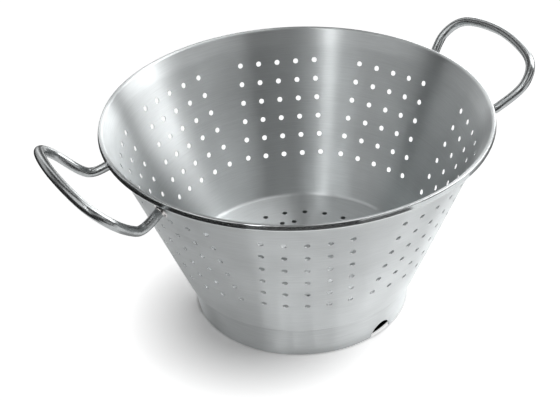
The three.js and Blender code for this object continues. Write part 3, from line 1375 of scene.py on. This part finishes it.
def hang_card(name: str, points: Array, normals: Array, shade: float) -> None:
    """Adds a card that only reflections see, with an even brightness of its own.

    Args:
        name: Name of the card.
        points: Its grid of points.
        normals: Directions of its front.
        shade: Its brightness, where 1 is white.
    """
    shell = Shell()
    shell.grid(points, normals)
    card = shell.piece(name)
    for ray in ("camera", "diffuse", "shadow", "transmission"):
        setattr(card, f"visible_{ray}", False)
    sheet = NodeSheet.named(name)
    sheet.shader.inputs["Base Color"].default_value = (0, 0, 0, 1)
    sheet.shader.inputs["Specular IOR Level"].default_value = 0.0
    sheet.shader.inputs["Emission Color"].default_value = (shade, shade, shade, 1)
    sheet.shader.inputs["Emission Strength"].default_value = 1.0
    card.data.materials.append(sheet.material)


@dataclass
class Studio:
    """Pale floor, white surroundings, lamps and cards."""

    floor_half: float = 4.0
    floor_shade: float = 0.78
    floor_glow: float = 0.94
    # Glow level at the darkest part of the painted shadow round the foot.
    painted_shadow_level: float = 0.23
    # Painted dark under the foot: radii inside which the floor turns black and stops glowing.
    painted_dark_reach: Pair = (0.0886, 0.0898)
    # Painted contact shadow: radii of a thin dark ring at the foot's lower edge, then its darkest
    # level.
    painted_contact_line: Triple = (0.0919, 0.0923, 0.0943)
    painted_contact_level: float = 0.5
    # Painted shadow: distances from a middle point beside the foot over which the glow rises from the
    # painted shadow's level to full.
    painted_shadow_reach: Pair = (0.0535, 0.1175)
    painted_shadow_middle: Triple = (-0.0442, -0.0114, 0.0)
    ambient: float = 0.04
    aim: Triple = (0.0, 0.0, 0.09)
    lamps: tuple[Lamp, ...] = (
        Lamp("main_lamp", -10.0, 64.0, (1.5, 1.5), 7.2),
        Lamp("fill_lamp", 25.0, 48.0, (1.5, 1.5), 4.4),
    )
    # Cards: dark flags and bright painted reflections of lights, seen only by the steel.
    cards: tuple[Card, ...] = (
        Card("key_box", (6, 40.5), (18, 62), 4.7),
        Card("key_top", (6, 60), (62, 80), 2.6),
        Card("flag_under_key", (0, 39), (0.5, 15), 0.05),
        Card("flag_beside_key", (41, 49), (0.5, 28), 0.2),
        Card("key_side", (40.5, 47), (28, 62), 2.8),
        Card("flag_key_side", (47, 60), (28, 62), 0.5, distance=2.7),
        Card("back_box", (50, 84), (2, 33), 3.2),
        Card("back_top", (60, 84), (62, 80), 2.6),
        Card("flag_over_back", (84, 126), (62, 80), 0.05),
        Card("flag_back", (50, 104), (0.5, 24), 0.05, distance=2.7),
        Card("back_wall", (60, 84), (24, 62), 1.1, distance=2.7),
        Card("back_side", (84, 104), (24, 62), 0.35, distance=2.7),
        Card("back_edge", (104, 112), (8, 62), 0.4),
        Card("back_fill", (112, 126), (8, 62), 1.5),
        Card("flag_right_back", (126, 172), (28, 80), 0.05),
        Card("flag_right_low", (126, 172), (0.5, 28), 0.7),
        Card("left_box", (172, 232), (28, 62), 1.3),
        Card("left_top", (172, 228), (62, 80), 0.8),
        Card("flag_low", (165, 300), (0.5, 28), 0.03),
        Card("flag_low_right", (300, 366), (13, 28), 0.03),
        Card("flag_low_edge", (334, 361), (0.5, 13), 0.03),
        Card("flag_key_edge", (345, 366), (28, 44), 0.05),
        Card("strip_box", (243, 250), (12, 36), 1.4, distance=2.4),
        Card("strip_top", (239, 246), (36, 78), 6.4, distance=2.4),
        Card("camera_left", (232, 286), (28, 44), 0.66),
        Card("camera_middle", (286, 304), (28, 44), 0.45),
        Card("camera_right", (304, 345), (28, 44), 1.1),
        Card("camera_top", (232, 285), (44, 62), 0.3),
        Card("flag_camera_right", (285, 366), (44, 80), 0.1),
        Card("flag_camera_top", (228, 285), (62, 80), 0.03),
        Card("ceiling", (0, 360), (80, 89.5), 0.45),
    )
    # Floor cards: painted reflections of shade on the floor (flags and shade_near cards) and of extra
    # light near the foot (glow cards), seen only by the steel.
    floor_cards: tuple[FloorCard, ...] = (
        FloorCard("flag_front", (246, 325), (0.55, 2.6), 0.02),
        FloorCard("flag_left", (100, 246), (0.36, 2.6), 0.02),
        FloorCard("flag_right", (362, 430), (0.40, 0.62), 0.1),
        FloorCard("shade_near_left", (150, 246), (0.115, 0.175), 0.42),
        FloorCard("shade_near_front", (246, 256), (0.115, 0.175), 0.65),
        FloorCard("glow_near_front", (276, 290), (0.114, 0.26), 1.15),
        FloorCard("glow_near_side", (290, 308), (0.114, 0.26), 1.35),
        FloorCard("glow_near_right", (308, 342), (0.114, 0.26), 1.5),
        FloorCard("glow_foot_left", (254, 264), (0.1, 0.114), 0.8),
        FloorCard("glow_foot_front", (264, 276), (0.1, 0.114), 1.1),
        FloorCard("glow_foot_right", (276, 332), (0.1, 0.114), 1.4),
    )

    def seen(self, tree: bpy.types.NodeTree) -> Socket:
        """Light-path test: 1 for what the camera sees, directly, in a reflection or through glass.

        Args:
            tree: Node tree that gets the test.

        Returns:
            The test's socket.
        """
        path = tree.nodes.new("ShaderNodeLightPath")
        total = path.outputs["Is Camera Ray"]
        for other in ("Is Glossy Ray", "Is Transmission Ray"):
            step = tree.nodes.new("ShaderNodeMath")
            step.operation = "MAXIMUM"
            tree.links.new(total, step.inputs[0])
            tree.links.new(path.outputs[other], step.inputs[1])
            total = step.outputs[0]
        return total

    def build_world(self) -> None:
        """White surroundings: strength 1 where they are seen, and the ambient light elsewhere."""
        world = bpy.data.worlds.new("studio")
        world.use_nodes = True
        bpy.context.scene.world = world
        tree = world.node_tree
        reach = tree.nodes.new("ShaderNodeMapRange")
        reach.inputs["To Min"].default_value = self.ambient
        reach.inputs["To Max"].default_value = 1.0
        tree.links.new(self.seen(tree), reach.inputs["Value"])
        background = tree.nodes["Background"]
        background.inputs["Color"].default_value = (1, 1, 1, 1)
        tree.links.new(reach.outputs["Result"], background.inputs["Strength"])

    @staticmethod
    def distance_ramp(sheet: NodeSheet, middle: Triple, reach: Pair, results: Pair) -> Socket:
        """Number that changes with the distance from a point.

        Args:
            sheet: The material's nodes.
            middle: The point.
            reach: Distances between which the number changes.
            results: The number at these distances.

        Returns:
            The number's socket.
        """
        radius = sheet.add("ShaderNodeVectorMath", operation="DISTANCE")
        radius.inputs[1].default_value = middle
        sheet.join(sheet.add("ShaderNodeTexCoord").outputs["Object"], radius.inputs[0])
        return sheet.ramp(radius.outputs["Value"], reach, results)

    def build_floor(self) -> None:
        """Pale floor that meets the white surroundings; its glow carries a painted shadow and a
        painted contact line round the foot and is painted dark under it, and the lamps cast a faint
        real shadow on it.
        """
        side = np.linspace(-self.floor_half, self.floor_half, FLOOR_POINTS)
        across, along = np.meshgrid(side, side)
        shell = Shell()
        points = np.stack([across, along, np.zeros_like(across)], axis=-1)
        shell.grid(points, UP)
        floor = shell.piece("studio_floor")
        sheet = NodeSheet.named("studio_floor")
        origin = (0.0, 0.0, 0.0)
        # Painted dark under the foot: black colour and no glow inside the foot, seen through the
        # notches and holes.
        clear = self.distance_ramp(sheet, origin, self.painted_dark_reach, (0.0, 1.0))
        colour = sheet.mixed(clear, (0.0, 0.0, 0.0), (self.floor_shade,) * 3)
        sheet.join(colour, sheet.shader.inputs["Base Color"])
        sheet.shader.inputs["Roughness"].default_value = 1.0
        sheet.shader.inputs["Specular IOR Level"].default_value = 0.0
        sheet.shader.inputs["Emission Color"].default_value = (1, 1, 1, 1)
        # Painted shadow: the glow is low next to the foot and rises to full away from a point beside
        # it.
        shades = (self.painted_shadow_level, self.floor_glow)
        soft = self.distance_ramp(sheet, self.painted_shadow_middle, self.painted_shadow_reach, shades)
        # Painted contact shadow: a thin dark ring on the floor along the foot's lower edge.
        inner, edge, outer = self.painted_contact_line
        towards = self.distance_ramp(sheet, origin, (inner, edge), (1.0, self.painted_contact_level))
        away = self.distance_ramp(sheet, origin, (edge, outer), (self.painted_contact_level, 1.0))
        contact = sheet.sum("MAXIMUM", towards, away)
        shaded = sheet.sum("MULTIPLY", sheet.sum("MULTIPLY", soft, contact), clear)
        glow = sheet.sum("MULTIPLY", self.seen(sheet.material.node_tree), shaded)
        sheet.join(glow, sheet.shader.inputs["Emission Strength"])
        floor.data.materials.append(sheet.material)

    def build(self) -> None:
        """Builds the world, floor, lamps and cards."""
        self.build_world()
        self.build_floor()
        for lamp in self.lamps:
            lamp.build(Vector(self.aim))
        for card in self.cards + self.floor_cards:
            card.build()
        bpy.context.scene.view_settings.view_transform = "Standard"


@dataclass(frozen=True)
class Viewpoint:
    """The photograph's camera, placed from the bowl's axis."""

    reach: float = 0.872445
    height: float = 0.67477
    yaw: float = -0.0184456
    pitch: float = -0.5890414
    roll: float = -0.0444251
    focal_pixels: float = 1242.554

    def build(self) -> None:
        """Adds the camera and makes it the scene's."""
        forward = Vector((
            math.sin(self.yaw) * math.cos(self.pitch),
            math.cos(self.yaw) * math.cos(self.pitch),
            math.sin(self.pitch),
        ))
        level = Vector((math.cos(self.yaw), -math.sin(self.yaw), 0.0))
        upward = level.cross(forward)
        right = math.cos(self.roll) * level + math.sin(self.roll) * upward
        top = math.cos(self.roll) * upward - math.sin(self.roll) * level
        axes = Matrix((right, top, -forward)).transposed().to_4x4()
        axes.translation = Vector((0.0, -self.reach, self.height))
        data = bpy.data.cameras.new("photo_camera")
        data.sensor_fit = "HORIZONTAL"
        data.sensor_width = SENSOR_WIDTH
        data.lens = self.focal_pixels / IMAGE_WIDTH * SENSOR_WIDTH
        data.clip_start = 0.01
        camera = bpy.data.objects.new("photo_camera", data)
        camera.matrix_world = Matrix.Rotation(PHOTO_TURN, 4, "Z") @ axes
        bpy.context.scene.collection.objects.link(camera)
        bpy.context.scene.camera = camera


def main() -> None:
    """Builds the colander piece by piece, then the studio and the camera."""
    logging.basicConfig(level=logging.INFO, format="%(name)s: %(message)s")
    bowl = Bowl()
    handle = Handle(bowl)
    dress(bowl.build(), SATIN_STEEL, "bowl")
    dress(bowl.build_wire(), WIRE_STEEL, "rim_wire")
    dress(FootRing(bowl).build(), SATIN_STEEL, "foot_ring")
    for name, turn in (("right", 0.0), ("left", math.pi)):
        dress(handle.build(f"rod_{name}", turn), POLISHED_STEEL_PAINTED_DARK, f"handle_{name}")
        for side in (1, -1):
            end = "back" if (side == 1) == (name == "right") else "front"
            weld = handle.build_weld(f"bead_{name}_{end}", turn, side)
            dress(weld, WELD_STEEL, f"weld_{name}_{end}")
    Studio().build()
    Viewpoint().build()


if __name__ == "__main__":
    main()
